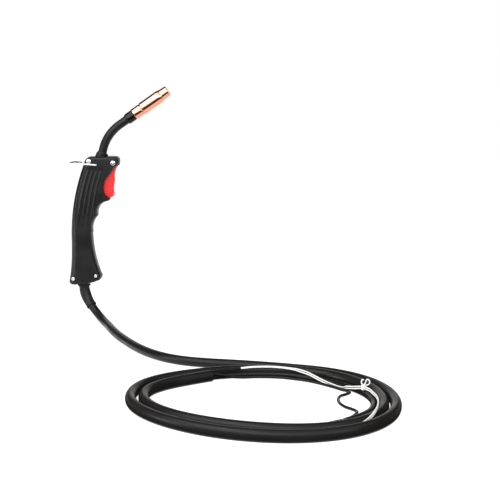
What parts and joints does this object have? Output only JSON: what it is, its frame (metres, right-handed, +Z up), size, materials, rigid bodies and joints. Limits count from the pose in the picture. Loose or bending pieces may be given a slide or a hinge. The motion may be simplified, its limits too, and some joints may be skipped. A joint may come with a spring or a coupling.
{
  "type": "welding torch",
  "caption": "MIG welding torch: moulded pistol handle with a red trigger and hanging hook, bent black neck, slip-on copper nozzle and a coiled black hose with bare tails.",
  "frame": {"origin": "middle of the grip, on the parting plane of the two handle halves", "axes": "+Z up the handle towards the neck, +X from the back of the handle to the trigger, +Y to the far handle half"},
  "size_m": [0.387, 0.5845, 0.3106],
  "materials": {
    "copper_nozzle": "polished copper",
    "copper_tip": "turned copper",
    "brass": "turned brass",
    "black_gloss": "moulded, glossy",
    "neck_sleeve": "satin sleeve",
    "handle_plastic": "moulded, fine satin grain",
    "liner": "extruded PTFE",
    "zinc": "bright zinc plate",
    "red_plastic": "moulded, semi-gloss",
    "steel": "drawn and ground",
    "switch_plastic": "moulded",
    "cable_rubber": "extruded",
    "boot_rubber": "moulded",
    "hose_rubber": "extruded, satin",
    "tinned_copper": "tinned",
    "white_pvc": "extruded",
    "tin_plate": "tin plate"
  },
  "bodies": {
    "torch": {"contact_tip": "copper_tip", "gas_diffuser": "brass", "nozzle_insulator": "black_gloss", "neck_sleeve": "neck_sleeve", "neck_conductor": "copper_tip", "neck_socket": "handle_plastic", "wire_liner": "liner", "neck_union": "brass", "handle_shell_near": "handle_plastic", "handle_shell_far": "handle_plastic", "handle_screws": "zinc", "handle_nuts": "zinc", "trigger_pivot": "steel", "trigger_spring": "steel", "switch_body": "switch_plastic", "inner_cable": "cable_rubber", "strain_relief": "boot_rubber", "hose_run": "hose_rubber", "hose_coil": "hose_rubber", "power_tail": "cable_rubber", "power_lug": "tinned_copper", "gas_tail": "cable_rubber", "gas_ferrule": "brass", "trigger_lead": "white_pvc", "lead_terminals": "tin_plate", "lead_tie": "white_pvc"},
    "trigger_lever": {"trigger": "red_plastic"},
    "plunger": {"switch_plunger": "red_plastic"},
    "hook": {"hanging_hook": "zinc"},
    "front_nozzle": {"nozzle": "copper_nozzle"}
  },
  "joints": [
    {"name": "trigger_pull", "type": "hinge", "parent": "torch", "child": "trigger_lever", "pos_m": [0.0422, 0, 0.0834], "axis": [0, 1, 0], "range_deg": [0, 5], "stiffness_Nm_per_rad": 0.6, "springref_deg": -8.59, "deforming": ["trigger_spring"]},
    {"name": "plunger_press", "type": "slide", "parent": "torch", "child": "plunger", "axis": [-1, 0, 0], "range_m": [0, 0.0021]},
    {"name": "hook_swing", "type": "hinge", "parent": "torch", "child": "hook", "pos_m": [0.0209, 0, 0.081], "axis": [0, 1, 0], "range_deg": [-38, 80]},
    {"name": "nozzle_slide", "type": "slide", "parent": "torch", "child": "front_nozzle", "axis": [0.8192, 0, 0.5736], "range_m": [0, 0.014]}
  ],
  "couplings": [
    {"joint": "plunger_press", "follows": "trigger_pull", "m_per_rad": 0.024}
  ]
}
